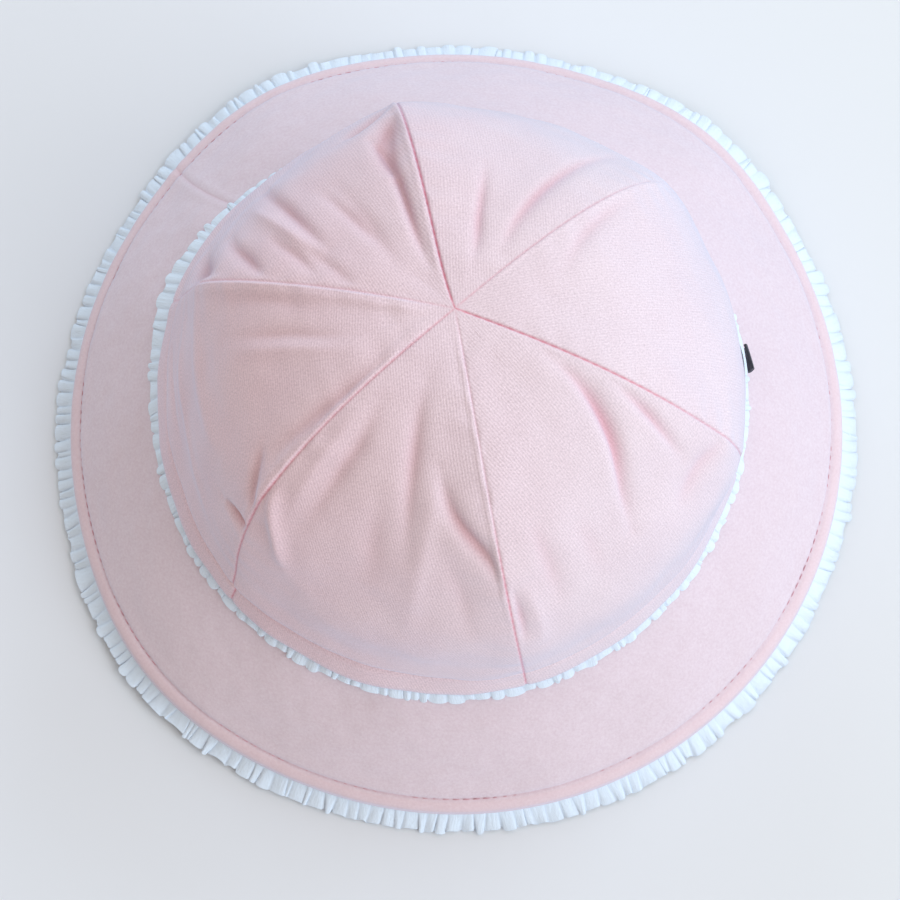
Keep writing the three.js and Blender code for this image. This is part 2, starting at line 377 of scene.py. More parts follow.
def colour_marks(tree: bpy.types.NodeTree, colour: bpy.types.NodeSocket | tuple[float, ...],
              mark_colours: dict[str, str]) -> bpy.types.NodeSocket:
    """Colour the places that a sheet's marks name: real colour such as seam lines, and painted light and
    shade.

    Args:
        tree: The material's node tree.
        colour: The cloth's own colour, or the socket that gives it.
        mark_colours: A hex colour for each mark, in the order in which they are laid on.

    Returns:
        The socket that gives the dyed colour.
    """
    for mark, code in mark_colours.items():
        share = add_node(tree, "Attribute", {"attribute_name": mark}).outputs["Fac"]
        marked = add_node(tree, "Mix", {"data_type": "RGBA", 0: share, 6: colour, 7: linear(code)})
        colour = marked.outputs[2]
    return colour


@dataclass(frozen=True)
class CottonTwill:
    """Washed cotton twill: slanting ribs of soft yarn, paler on their crowns, deep pink in the seams, with
    painted shade in its folds and painted light paling its right side.
    """

    name: str = "washed_cotton_twill"
    crown_colour: str = "#ead1d6"
    groove_colour: str = "#d1b0bb"
    # painted shade: the colour of the shade in fold valleys
    fold_shade_colour: str = "#bd8081"
    seam_colour: str = "#d67889"
    # painted light: the side that the window lamps light is painted paler and cooler
    lit_side_colour: str = "#d8dde5"
    lit_side_share: float = 0.3
    lit_side_from: float = -45.0
    lit_side_to: float = 30.0
    faded_share: float = 0.22
    wash: float = 16.0
    rib: float = 0.65
    rib_height: float = 0.03
    grain: float = 0.5
    grain_depth: float = 0.38
    grain_share: float = 1.5

    def material(self) -> bpy.types.Material:
        """Weave the twill.

        Returns:
            The finished material.
        """
        material, tree, shader = start_material(self.name)
        cloth = add_node(tree, "UVMap", {"uv_map": "cloth"}).outputs["UV"]
        place = add_node(tree, "TexCoord", {}).outputs["Object"]
        ribs = add_node(tree, "TexWave", {"bands_direction": "X", "Scale": STRIPE / self.rib,
                                          "Distortion": 1.8, "Detail": 2.0, "Detail Scale": 1.6,
                                          "Vector": cloth})
        grain = add_node(tree, "TexNoise", {"Scale": 1 / self.grain, "Detail": 3.0, "Roughness": 0.75,
                                            "Vector": cloth}).outputs["Fac"]
        wash = add_node(tree, "TexNoise", {"Scale": 1 / (self.wash * MM), "Detail": 3.0, "Vector": place})
        relief = add_node(tree, "Math", {"operation": "MULTIPLY_ADD", 0: grain, 1: self.grain_share,
                                         2: ribs.outputs["Fac"]}).outputs[0]
        groove = add_node(tree, "MapRange", {"From Min": 0.5, "From Max": 2.0, "To Min": 0.45, "To Max": 0.0,
                                             "Value": relief})
        faded = add_node(tree, "MapRange", {"From Min": 0.3, "From Max": 0.7, "To Min": 0.0,
                                            "To Max": self.faded_share, "Value": wash.outputs["Fac"]})
        sides = add_node(tree, "SeparateXYZ", {"Vector": place})
        # painted light: paler, cooler colour rising towards the right, where the lamps fall
        lit_side = add_node(tree, "MapRange", {"From Min": self.lit_side_from * MM,
                                             "From Max": self.lit_side_to * MM, "To Min": 0.0,
                                             "To Max": self.lit_side_share, "Value": sides.outputs["X"]})
        colour = linear(self.crown_colour)
        for share, code in ((groove, self.groove_colour), (faded, self.groove_colour),
                            (lit_side, self.lit_side_colour)):
            colour = add_node(tree, "Mix", {"data_type": "RGBA", 0: share.outputs["Result"], 6: colour,
                                            7: linear(code)}).outputs[2]
        speckle = add_node(tree, "MapRange", {"From Min": 0.0, "From Max": 1.0, "Value": grain,
                                              "To Min": 1 - self.grain_depth,
                                              "To Max": 1 + self.grain_depth})
        grainy = add_node(tree, "Mix", {"data_type": "RGBA", "blend_type": "MULTIPLY", 0: 1.0, 6: colour,
                                        7: speckle.outputs["Result"]})
        # the fold mark is painted shade in the fold valleys; the seam mark holds the seams' deep pink and
        # also painted pink shade in the folds
        marked = colour_marks(tree, grainy.outputs[2], {"fold": self.fold_shade_colour, "seam": self.seam_colour})
        bump = add_node(tree, "Bump", {"Strength": 1.0, "Distance": self.rib_height * MM, "Height": relief})
        set_node(tree, shader, {"Base Color": marked, "Normal": bump.outputs["Normal"], "Roughness": 0.92,
                                "Specular IOR Level": 0.25} | COTTON_FUZZ)
        return material


@dataclass(frozen=True)
class BrushedCotton:
    """Brushed cotton: a short matted nap with no rib to see, mottled where the nap lies flat, with painted
    warm light on its welt.
    """

    name: str = "brushed_cotton"
    nap_colour: str = "#e0d2da"
    low_colour: str = "#cdb7c1"
    # painted light: the warmer pink of the warm bounced light that the welt catches
    welt_light_colour: str = "#e9c3c4"
    seam_colour: str = "#c07a86"
    nap: float = 0.7
    nap_height: float = 0.05
    mottle: float = 3.5
    mottle_share: float = 0.15

    def material(self) -> bpy.types.Material:
        """Brush the cotton.

        Returns:
            The finished material.
        """
        material, tree, shader = start_material(self.name)
        place = add_node(tree, "TexCoord", {}).outputs["Object"]
        # real fibres are finer than the picture shows, so the nap is drawn in tufts
        nap = add_node(tree, "TexNoise", {"Scale": 1 / (self.nap * MM), "Detail": 4.0, "Roughness": 0.65,
                                          "Vector": place}).outputs["Fac"]
        mottle = add_node(tree, "TexNoise", {"Scale": 1 / (self.mottle * MM), "Detail": 3.0,
                                             "Vector": place})
        both = add_node(tree, "Math", {"operation": "MULTIPLY_ADD", 0: mottle.outputs["Fac"],
                                       1: self.mottle_share, 2: nap})
        low = add_node(tree, "MapRange", {"From Min": 0.4, "From Max": 0.75, "To Min": 0.5, "To Max": 0.0,
                                          "Value": both.outputs[0]})
        cloth = add_node(tree, "Mix", {"data_type": "RGBA", 0: low.outputs["Result"],
                                       6: linear(self.nap_colour), 7: linear(self.low_colour)})
        marked = colour_marks(tree, cloth.outputs[2], {"welt": self.welt_light_colour, "seam": self.seam_colour})
        bump = add_node(tree, "Bump", {"Strength": 0.7, "Distance": self.nap_height * MM, "Height": nap})
        set_node(tree, shader, {"Base Color": marked, "Normal": bump.outputs["Normal"], "Roughness": 0.95,
                                "Specular IOR Level": 0.2} | COTTON_FUZZ)
        return material


@dataclass(frozen=True)
class RuffleLawn:
    """Cotton lawn: thin bleached cloth with a fine even weave, with painted bluish shade in its gathers."""

    name: str = "bleached_cotton_lawn"
    colour: str = "#dcebf9"
    # painted shade: the colour of the shade in the creases between pleats
    gather_shade_colour: str = "#b8c6de"
    thread: float = 0.6
    thread_share: float = 0.05
    crinkle: float = 1.6
    crinkle_length: float = 6.0
    crinkle_height: float = 0.3

    def material(self) -> bpy.types.Material:
        """Weave the lawn.

        Returns:
            The finished material.
        """
        material, tree, shader = start_material(self.name)
        cloth = add_node(tree, "UVMap", {"uv_map": "cloth"}).outputs["UV"]
        # the real threads are near 0.25 mm apart, too fine to show, so they are drawn coarser
        warp, weft = (add_node(tree, "TexWave", {"bands_direction": way, "Scale": STRIPE / self.thread,
                                                 "Vector": cloth}).outputs["Fac"] for way in "XY")
        weave = add_node(tree, "Math", {"operation": "MULTIPLY", 0: warp, 1: weft})
        drawn = add_node(tree, "Mapping", {"Scale": (1 / self.crinkle, 1 / self.crinkle_length, 1.0),
                                           "Vector": cloth})
        crinkles = add_node(tree, "TexNoise", {"Scale": 1.0, "Detail": 3.0, "Roughness": 0.6,
                                               "Vector": drawn.outputs["Vector"]})
        relief = add_node(tree, "Math", {"operation": "MULTIPLY_ADD", 0: weave.outputs[0],
                                         1: self.thread_share, 2: crinkles.outputs["Fac"]})
        marked = colour_marks(tree, linear(self.colour), {"gather": self.gather_shade_colour})
        bump = add_node(tree, "Bump", {"Strength": 1.0, "Distance": self.crinkle_height * MM,
                                       "Height": relief.outputs[0]})
        set_node(tree, shader, {"Base Color": marked, "Normal": bump.outputs["Normal"], "Roughness": 0.8,
                                "Specular IOR Level": 0.3})
        return material


@dataclass(frozen=True)
class WovenTape:
    """Polyester label tape: dark close-woven ribs with a faint gloss."""

    name: str = "woven_label_tape"
    colour: str = "#2b2f37"
    rib_colour: str = "#454b56"
    rib: float = 0.5
    rib_height: float = 0.04

    def material(self) -> bpy.types.Material:
        """Weave the tape.

        Returns:
            The finished material.
        """
        material, tree, shader = start_material(self.name)
        cloth = add_node(tree, "UVMap", {"uv_map": "cloth"}).outputs["UV"]
        ribs = add_node(tree, "TexWave", {"bands_direction": "Y", "Scale": STRIPE / self.rib,
                                          "Vector": cloth}).outputs["Fac"]
        colour = add_node(tree, "Mix", {"data_type": "RGBA", 0: ribs, 6: linear(self.colour),
                                        7: linear(self.rib_colour)})
        bump = add_node(tree, "Bump", {"Strength": 0.8, "Distance": self.rib_height * MM, "Height": ribs})
        set_node(tree, shader, {"Base Color": colour.outputs[2], "Normal": bump.outputs["Normal"],
                                "Roughness": 0.6})
        return material


@dataclass(frozen=True)
class SewingThread:
    """Spun sewing thread: twisted plies with a slight gloss, darker between them."""

    name: str
    colour: str
    ply: float = 0.35
    between: float = 0.8

    def material(self) -> bpy.types.Material:
        """Spin the thread.

        Returns:
            The finished material.
        """
        material, tree, shader = start_material(self.name)
        place = add_node(tree, "TexCoord", {}).outputs["Object"]
        plies = add_node(tree, "TexNoise", {"Scale": 1 / (self.ply * MM), "Detail": 2.0, "Vector": place})
        shade = tuple(self.between * c for c in linear(self.colour)[:3]) + (1.0,)
        colour = add_node(tree, "Mix", {"data_type": "RGBA", 0: plies.outputs["Fac"],
                                        6: linear(self.colour), 7: shade})
        set_node(tree, shader, {"Base Color": colour.outputs[2], "Roughness": 0.65})
        return material


@dataclass(frozen=True)
class PaintedTable:
    """Matt white paint on a table top: the faintest unevenness, and painted light: a little greyer and less
    blue towards the right, where the window lamps fall.
    """

    name: str = "matt_white_paint"
    colour: str = "#e2e7ed"
    patch_colour: str = "#e0e5eb"
    patch: float = 40.0
    window_side_colour: str = "#dfe3e6"
    window_side_from: float = -20.0
    window_side_to: float = 130.0

    def material(self) -> bpy.types.Material:
        """Paint the table.

        Returns:
            The finished material.
        """
        material, tree, shader = start_material(self.name)
        place = add_node(tree, "TexCoord", {}).outputs["Object"]
        patches = add_node(tree, "TexNoise", {"Scale": 1 / (self.patch * MM), "Detail": 2.0,
                                              "Vector": place})
        # painted light: the paint turns greyer and less blue towards the right, toning down the cool lamp
        # light there
        sides = add_node(tree, "SeparateXYZ", {"Vector": place})
        window_side = add_node(tree, "MapRange", {"From Min": self.window_side_from * MM,
                                           "From Max": self.window_side_to * MM, "Value": sides.outputs["X"]})
        colour = linear(self.colour)
        for share, code in ((patches.outputs["Fac"], self.patch_colour),
                            (window_side.outputs["Result"], self.window_side_colour)):
            colour = add_node(tree, "Mix", {"data_type": "RGBA", 0: share, 6: colour,
                                            7: linear(code)}).outputs[2]
        set_node(tree, shader, {"Base Color": colour, "Roughness": 0.7, "Specular IOR Level": 0.2})
        return material


# Crown


class Ridge(Enum):
    """The side of a seam that its turned-in allowance lifts, as a sign."""

    NONE = 0
    BEFORE = -1
    AFTER = 1


@dataclass(frozen=True)
class Seam:
    """A crown seam.

    Attributes:
        point: Its turn near the crown's point.
        foot: Its turn at the foot.
        swing: Extra turn right at the point.
        dip: How deep the cloth rolls into it.
        tint: How much deep pink shows in it on top of the crown.
        foot_tint: How much shows on the wall.
        ridge: The side that the allowance lifts.
        ridge_width: How wide the lifted edge is.
        corner: Share of the way down where it turns over the shoulder.
        corner_out: How far the cloth stands out at that corner.
    """

    point: float
    foot: float
    swing: float
    dip: float
    tint: float
    foot_tint: float
    ridge: Ridge
    ridge_width: float
    corner: float
    corner_out: float


@dataclass(frozen=True)
class CrownShape:
    """The crown without its folds: a squared dome over an oval, slumped and flared at the foot."""

    half_width: float = 71.5
    half_length: float = 72.5
    foot_z: float = 32.0
    rise: float = 75.0
    squareness: float = 2.45
    lean: float = 0.75
    foot_flare: float = 3.2
    flare_height: float = 5.5
    crease_depth: float = 1.6
    crease_height: float = 8.6
    crease_half_height: float = 1.5
    lip: float = 1.3
    lip_height: float = 11.5
    lip_below: float = 1.4
    lip_above: float = 5.0
    panel_flatness: float = 0.75
    swing_reach: float = 0.09
    slump_right: float = 2.2
    slump_front: float = 2.2
    slump_height: float = 30.0
    slump_spread: float = 18.0
    band_turn: float = 245.0
    band_spread: float = 62.0
    band_least: float = 0.5
    heel: float = 1.1
    heel_turn: float = 154.0
    heel_spread: float = 17.0
    seams: tuple[Seam, ...] = (
        Seam(-20.5, -16.0, 0.0, 0.32, 0.85, 0.5, Ridge.NONE, 0.0, 0.69, 0.9),
        Seam(41.0, 39.0, 0.0, 0.03, 0.34, 0.1, Ridge.BEFORE, 0.6, 0.50, 0.0),
        Seam(102.8, 102.6, 7.0, 0.5, 0.9, 0.4, Ridge.AFTER, 1.0, 0.57, 0.3),
        Seam(168.5, 161.0, 0.0, 0.08, 0.20, 0.3, Ridge.AFTER, 1.9, 0.65, 0.5),
        Seam(220.5, 224.0, 0.0, 0.15, 0.45, 0.8, Ridge.BEFORE, 1.6, 0.56, 1.5),
        Seam(280.0, 284.0, 0.0, 0.15, 0.15, 0.8, Ridge.BEFORE, 0.8, 0.54, 0.6),
    )

    def seam(self, index: int) -> Seam:
        """One seam by its number, which may run past the last one."""
        return self.seams[index % len(self.seams)]

    def seam_turn(self, index: int, down: Array) -> Array:
        """Turn of one seam at a share of the way down.

        Args:
            index: The seam's number, which may run past the last one.
            down: Share of the way from the point to the foot.

        Returns:
            The seam's turn.
        """
        seam = self.seam(index)
        whole_turns = 360 * (index // len(self.seams))
        swing = seam.swing * np.exp(-down / self.swing_reach)
        return whole_turns + seam.point + (seam.foot - seam.point) * np.square(down) + swing

    def turn(self, panel: int, across: Array, down: Array) -> Array:
        """Turn of a place in a panel."""
        start = self.seam_turn(panel, down)
        return start + across * (self.seam_turn(panel + 1, down) - start)

    def height(self, down: Array) -> Array:
        """Height above the foot at a share of the way down."""
        return self.rise * np.maximum(np.cos(np.radians(90 * down)), 0) ** (2 / self.squareness)

    def down_at(self, height: Array) -> Array:
        """Share of the way down at a height above the foot."""
        return np.degrees(np.arccos((np.asarray(height) / self.rise) ** (self.squareness / 2))) / 90

    def band(self, turn: Array) -> Array:
        """How far the foot's flared band is pulled out at a turn, as a share."""
        return turn_bell(turn, self.band_turn, self.band_spread)

    def flare(self, turn: Array) -> Array:
        """How far the foot stands out at a turn."""
        heel = self.heel * turn_bell(turn, self.heel_turn, self.heel_spread)
        return self.foot_flare * (self.band_least + (1 - self.band_least) * self.band(turn)) + heel

    def slump(self, turn: Array, height: Array) -> Array:
        """How far the soft wall sags outward.

        Args:
            turn: Turn round the crown.
            height: Height above the foot.

        Returns:
            Distances outward.
        """
        angle = np.radians(turn)
        sag = self.slump_right * np.cos(angle) - self.slump_front * np.sin(angle)
        return sag * bell((height - self.slump_height) / self.slump_spread)

    def surface(self, panel: int, across: Array, down: Array) -> Array:
        """Points of the smooth crown.

        Args:
            panel: The panel's number.
            across: Share of the way from its first seam to its second.
            down: Share of the way from the point to the foot.

        Returns:
            Points in millimetres about the crown's axis.
        """
        spread = np.radians(self.seam_turn(panel + 1, down) - self.seam_turn(panel, down))
        turn = self.turn(panel, across, down)
        height = self.height(down)
        chord = np.cos(spread / 2) / np.cos((across - 0.5) * spread)
        flatness = self.panel_flatness * (1 - np.square(down))
        out = np.maximum(np.sin(np.radians(90 * down)), 0) ** (2 / self.squareness)
        dome = oval_radius(turn, self.half_width, self.half_length) * out
        crease = self.crease_depth * bell((height - self.crease_height) / self.crease_half_height)
        over = height - self.lip_height
        lip = self.lip * bell(over / np.where(over < 0, self.lip_below, self.lip_above))
        flare = self.flare(turn) * bell(height / self.flare_height) + self.band(turn) * (lip - crease)
        radius = dome * (1 - flatness * (1 - chord)) + flare + self.slump(turn, height)
        return polar(turn, radius, self.foot_z + height, self.lean * height / self.rise)

    def outward(self, panel: int, across: Array, down: Array) -> Array:
        """Outward directions of the plain dome, alike on both sides of a seam.

        Args:
            panel: The panel's number.
            across: Share of the way from its first seam to its second.
            down: Share of the way from the point to the foot.

        Returns:
            Directions of length 1.
        """
        power = 2 - 2 / self.squareness
        slope = np.radians(90 * down)
        sideways = np.maximum(np.sin(slope), 0) ** power / self.half_width
        upward = np.maximum(np.cos(slope), 0) ** power / self.rise
        ways = polar(self.turn(panel, across, down), sideways, upward)
        return ways / np.linalg.norm(ways, axis=-1, keepdims=True)

    def foot_radius(self, turn: Array, cloth: float) -> Array:
        """Distance from the axis to the inside of the crown's foot."""
        return oval_radius(turn, self.half_width, self.half_length) + self.flare(turn) - cloth


@dataclass(frozen=True)
class Fold:
    """A fold in one panel: a valley, or a ridge where depth is below 0.

    Attributes:
        path: Where it runs: share from seam to seam, and share from point to foot.
        half_width: Half its width.
        depth: How far it sinks.
        skew: From -1 to 1, how much steeper one flank is than the other.
        bluntness: How round its bottom is, as a share of the half width.
        flank_change: How far full skew widens one flank and narrows the other, as a share.
        steepness: How steeply its flanks rise.
        rim: How far the cloth beside it stands up, as a share of the depth.
        end_share: Share of its run at each end that keeps one depth.
        end_fade: How fast it fades towards its ends.
    """

    path: tuple[tuple[float, float], ...]
    half_width: float
    depth: float
    skew: float = 0.0
    bluntness: float = 0.25
    flank_change: float = 0.45
    steepness: float = 1.35
    rim: float = 0.35
    end_share: float = 0.04
    end_fade: float = 0.9

    def run(self, shape: CrownShape, panel: int, steps: int = 24) -> tuple[Array, Array]:
        """Points along the fold on the smooth crown, with its sharp turns eased.

        Args:
            shape: The smooth crown.
            panel: The panel's number.
            steps: How many legs the run has.

        Returns:
            The points from its start to its end, and the crown's outward direction at each.
        """
        stops = np.linspace(0, 1, len(self.path))
        share = np.linspace(0, 1, steps + 1)
        places = np.array([np.interp(share, stops, column) for column in zip(*self.path)])
        easings = steps // 3
        for _ in range(easings):
            places[:, 1:-1] = (places[:, :-2] + 2 * places[:, 1:-1] + places[:, 2:]) / 4
        return shape.surface(panel, *places), shape.outward(panel, *places)

    def sink(self, run: Array, outward: Array, points: Array) -> Array:
        """How far the fold sinks the cloth.

        Args:
            run: Points along the fold.
            outward: The crown's outward direction at each of them.
            points: Points of the smooth crown.

        Returns:
            Depths below the smooth crown.
        """
        nearest = np.full(len(points), np.inf)
        share = np.zeros(len(points))
        side = np.zeros(len(points))
        legs = len(run) - 1
        for step in range(legs):
            leg = run[step + 1] - run[step]
            gap = points - run[step]
            along = np.clip(gap @ leg / (leg @ leg), 0, 1)
            away = np.linalg.norm(gap - along[:, None] * leg, axis=1)
            closer = away < nearest
            nearest = np.where(closer, away, nearest)
            share = np.where(closer, (step + along) / legs, share)
            side = np.where(closer, gap @ np.cross(outward[step], leg), side)
        flank = 1 + self.flank_change * self.skew * np.tanh(side)
        blunt = self.bluntness * self.half_width
        x = ((np.hypot(nearest, blunt) - blunt) / (self.half_width * flank)) ** self.steepness
        fade = np.sin(np.pi * np.clip(share, self.end_share, 1 - self.end_share)) ** self.end_fade
        return self.depth * fade * (1 - self.rim * x) * np.exp(-x)


@dataclass(frozen=True)
class PanelCut:
    """One gore.

    Attributes:
        node: Its solid.
        rib_lean: How far its ribs lean from its middle line.
        pink_fold_shade: How much of the shade in its folds is deep pink, from 0 to 1.
        folds: Its folds.
    """

    node: str
    rib_lean: float
    pink_fold_shade: float
    folds: tuple[Fold, ...]


PANELS = (
    PanelCut("crown_panel_right", 3.0, 1.0, (
        Fold(((0.96, 0.50), (0.93, 0.36), (0.86, 0.27), (0.68, 0.21)), 1.8, 0.7),
    )),
    PanelCut("crown_panel_back", 20.0, 1.0, (
        Fold(((0.62, 0.34), (0.57, 0.18), (0.45, 0.08)), 1.3, 1.1),
        Fold(((0.16, 0.68), (0.22, 0.45), (0.26, 0.31), (0.27, 0.20), (0.20, 0.12)), 1.6, 1.2, 0.4),
    )),
    PanelCut("crown_panel_back_left", -11.0, 0.0, (
        Fold(((0.16, 0.48), (0.12, 0.31), (0.15, 0.19), (0.22, 0.08)), 1.2, 2.0),
        Fold(((0.03, 0.54), (0.10, 0.44), (0.15, 0.30)), 2.9, 2.3),
        Fold(((0.53, 0.90), (0.62, 0.51), (0.66, 0.41), (0.74, 0.28)), 1.5, 1.4),
        Fold(((0.66, 0.70), (0.72, 0.44), (0.78, 0.30)), 1.5, -0.8),
        Fold(((0.48, 0.45), (0.49, 0.30), (0.52, 0.18)), 1.6, 0.8),
        Fold(((0.80, 0.68), (0.90, 0.48), (0.97, 0.39)), 1.5, 1.4),
        Fold(((0.77, 0.48), (0.84, 0.34), (0.93, 0.26)), 1.5, 0.8),
        Fold(((0.76, 0.36), (0.86, 0.23), (0.96, 0.16)), 1.6, 0.6),
        Fold(((0.40, 0.46), (0.43, 0.24), (0.58, 0.10)), 2.0, 0.6),
        Fold(((0.84, 0.91), (0.91, 0.82), (0.95, 0.70), (0.97, 0.58)), 3.2, 2.2),
        Fold(((0.02, 0.66), (0.12, 0.60), (0.26, 0.58)), 2.8, 1.4),
    )),
    PanelCut("crown_panel_left", 77.0, 0.0, (
        Fold(((0.09, 0.58), (0.10, 0.36), (0.20, 0.22)), 2.6, 0.6),
        Fold(((0.27, 0.52), (0.34, 0.32), (0.48, 0.19)), 1.7, 0.6),
        Fold(((0.34, 0.52), (0.43, 0.33), (0.60, 0.19)), 1.9, -0.6),
        Fold(((0.96, 0.08), (0.95, 0.20), (0.93, 0.32), (0.89, 0.50)), 2.6, 1.2),
        Fold(((0.84, 0.72), (0.97, 0.685), (1.10, 0.65)), 1.7, 2.2),
        Fold(((0.82, 0.48), (0.93, 0.56), (1.04, 0.63)), 1.5, 1.3),
        Fold(((0.00, 0.69), (0.21, 0.68), (0.41, 0.69), (0.59, 0.68), (0.74, 0.66)), 3.3, -0.9),
        Fold(((0.05, 0.83), (0.30, 0.81), (0.55, 0.82), (0.88, 0.86)), 2.2, -0.6),
        Fold(((0.14, 0.91), (0.32, 0.89), (0.52, 0.88)), 1.6, 0.7),
    )),
    PanelCut("crown_panel_front", 25.0, 0.0, (
        Fold(((0.01, 0.50), (0.06, 0.57), (0.12, 0.64), (0.18, 0.72)), 1.9, -1.7),
        Fold(((0.13, 0.62), (0.10, 0.43), (0.10, 0.32), (0.09, 0.22)), 2.0, -0.6),
        Fold(((0.19, 0.56), (0.21, 0.39), (0.23, 0.31), (0.18, 0.20)), 2.2, 0.9),
        Fold(((0.62, 0.54), (0.58, 0.34), (0.55, 0.26), (0.48, 0.13)), 2.1, 1.2),
        Fold(((0.64, 0.78), (0.67, 0.58), (0.70, 0.43), (0.72, 0.28)), 2.6, -0.6),
        Fold(((0.73, 0.30), (0.81, 0.40), (0.90, 0.46), (0.97, 0.51), (0.98, 0.57)), 1.8, 1.9),
        Fold(((0.78, 0.50), (0.84, 0.62), (0.86, 0.76)), 2.6, 0.5),
        Fold(((0.44, 0.40), (0.50, 0.66)), 3.3, 0.6),
    )),
    PanelCut("crown_panel_front_right", 3.0, 1.0, (
        Fold(((0.90, 0.17), (0.83, 0.28), (0.77, 0.35), (0.69, 0.44), (0.61, 0.51), (0.52, 0.64)),
             1.7, 1.8, 0.4),
        Fold(((0.95, 0.32), (0.92, 0.42), (0.89, 0.49), (0.85, 0.61)), 1.4, 1.2),
        Fold(((1.00, 0.69), (0.87, 0.66), (0.68, 0.70)), 3.3, 0.8),
        Fold(((0.16, 0.44), (0.18, 0.55), (0.18, 0.70)), 2.5, 0.6),
        Fold(((0.36, 0.50), (0.35, 0.70)), 2.9, 0.4),
        Fold(((0.02, 0.58), (0.03, 0.67), (0.03, 0.76)), 1.4, 0.9),
        Fold(((0.07, 0.58), (0.09, 0.69), (0.08, 0.80)), 2.0, -0.6),
    )),
)


@dataclass(frozen=True)
class GorePlaces:
    """Where the corners of one gore lie on the smooth crown.

    Attributes:
        panel: The panel's number.
        across: Share from the first seam to the second.
        down: Share from the point to the foot.
        distance: Distance from the point.
        to_foot: Distance from the foot.
        to_seam: Distance from the nearer seam.
        sideways: Distance from the middle line.
        smooth: Points of the smooth crown.
    """

    panel: int
    across: Array
    down: Array
    distance: Array
    to_foot: Array
    to_seam: Array
    sideways: Array
    smooth: Array

    def nearer(self, first: float, second: float) -> Array:
        """Take the first seam's value in the first half of the gore and the second's in the other."""
        return np.where(self.across < 0.5, first, second)


